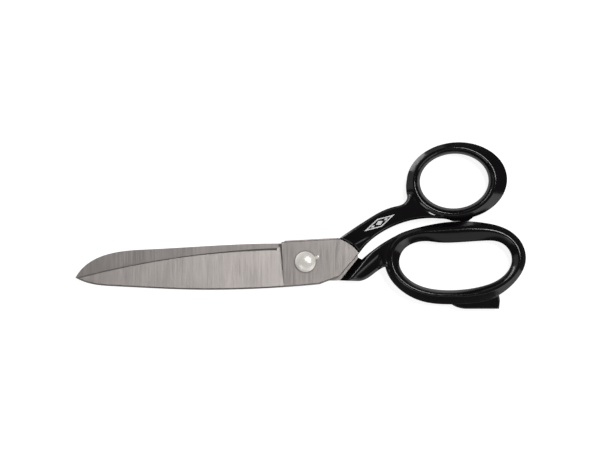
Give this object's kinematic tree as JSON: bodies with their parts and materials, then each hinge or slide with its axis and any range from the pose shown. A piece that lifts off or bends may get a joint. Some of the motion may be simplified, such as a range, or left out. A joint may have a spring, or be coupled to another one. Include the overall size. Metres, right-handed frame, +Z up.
{
  "type": "fabric shears",
  "caption": "Bent-handle fabric shears: two ground steel blades on a nibbed pivot bolt, black enamelled shanks, a round thumb bow and a long finger bow with a foot.",
  "frame": {"origin": "on the pivot axis, in the plane of the nut's outer face and of the bows' lower crests, which is the surface the shears lie on", "axes": "+X from the blade tips to the handles, +Y towards the thumb bow, +Z up along the pivot to the bolt's head"},
  "size_m": [0.2542, 0.094, 0.0125],
  "materials": {
    "blade_steel": "fine ground, with the scratches across the blade",
    "black_enamel": "thick glossy black enamel on forged steel",
    "bolt_steel": "bright turned and polished",
    "nut_steel": "bright turned",
    "spring_steel": "dull hardened spring steel"
  },
  "bodies": {
    "finger_half": {"finger_blade": "blade_steel", "finger_handle": "black_enamel"},
    "thumb_half": {"thumb_blade": "blade_steel", "thumb_handle": "black_enamel", "pivot_bolt": "bolt_steel", "spring_washer": "spring_steel", "pivot_nut": "nut_steel"}
  },
  "joints": [
    {"name": "pivot", "type": "hinge", "parent": "finger_half", "child": "thumb_half", "pos_m": [0, 0, 0.0055], "axis": [0, 0, 1], "range_deg": [0, 100]}
  ]
}
